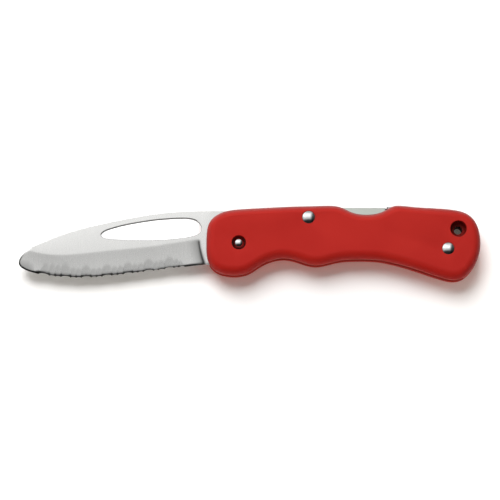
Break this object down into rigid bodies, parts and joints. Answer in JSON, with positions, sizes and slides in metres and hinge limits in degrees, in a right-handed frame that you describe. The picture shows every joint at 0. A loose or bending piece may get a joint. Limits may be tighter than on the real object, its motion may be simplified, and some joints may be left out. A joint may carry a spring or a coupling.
{
  "type": "rigging knife",
  "caption": "Lock-back folding rigging knife, shown open: blunt-tipped serrated blade with an opening slot, moulded red handle with domed rivets and a lanyard hole.",
  "frame": {"origin": "centre of the underside of the open knife's box, lying on its back scale", "axes": "+X from blade tip to butt, +Y towards the blade's spine and the lock lever, +Z out of the front scale"},
  "size_m": [0.1952, 0.032, 0.0137],
  "materials": {
    "red_polymer": "fine moulded texture, satin",
    "blade_steel": "stainless, satin flats, ground bevels",
    "bar_steel": "stainless, tumbled satin",
    "spring_steel": "spring steel, plain",
    "liner_steel": "stainless sheet, satin",
    "rivet_chrome": "polished, nickel bright",
    "bush_bronze": "turned bronze"
  },
  "bodies": {
    "handle": {"front_scale": "red_polymer", "back_scale": "red_polymer", "front_liner": "liner_steel", "back_liner": "liner_steel", "back_spacer": "liner_steel", "pivot_rivet": "rivet_chrome", "pivot_rivet_socket": "rivet_chrome", "lock_rivet": "rivet_chrome", "lock_rivet_socket": "rivet_chrome", "rear_rivet": "rivet_chrome", "rear_rivet_socket": "rivet_chrome", "pivot_bush": "bush_bronze", "front_pivot_washer": "bush_bronze", "back_pivot_washer": "bush_bronze", "lock_bush": "bush_bronze", "spring_pin": "liner_steel", "spacer_dowel": "liner_steel"},
    "blade": {"blade": "blade_steel"},
    "lock_bar": {"lock_bar": "bar_steel"},
    "lock_spring": {"lock_spring": "spring_steel"}
  },
  "joints": [
    {"name": "blade_fold", "type": "hinge", "parent": "handle", "child": "blade", "pos_m": [-0.00452, -0.0007, 0.0064], "axis": [0, 0, 1], "range_deg": [0, 169.5]},
    {"name": "lock_lever", "type": "hinge", "parent": "handle", "child": "lock_bar", "pos_m": [0.02498, 0.0102, 0.0064], "axis": [0, 0, 1], "range_deg": [-1.5, 2.1], "stiffness_Nm_per_rad": 0.2},
    {"name": "spring_flex", "type": "hinge", "parent": "handle", "child": "lock_spring", "pos_m": [0.06548, 0.0087, 0.0064], "axis": [0, 0, 1], "range_deg": [-3.3, 2.4]}
  ],
  "couplings": [
    {"joint": "spring_flex", "follows": "lock_lever", "ratio": -1.53}
  ]
}
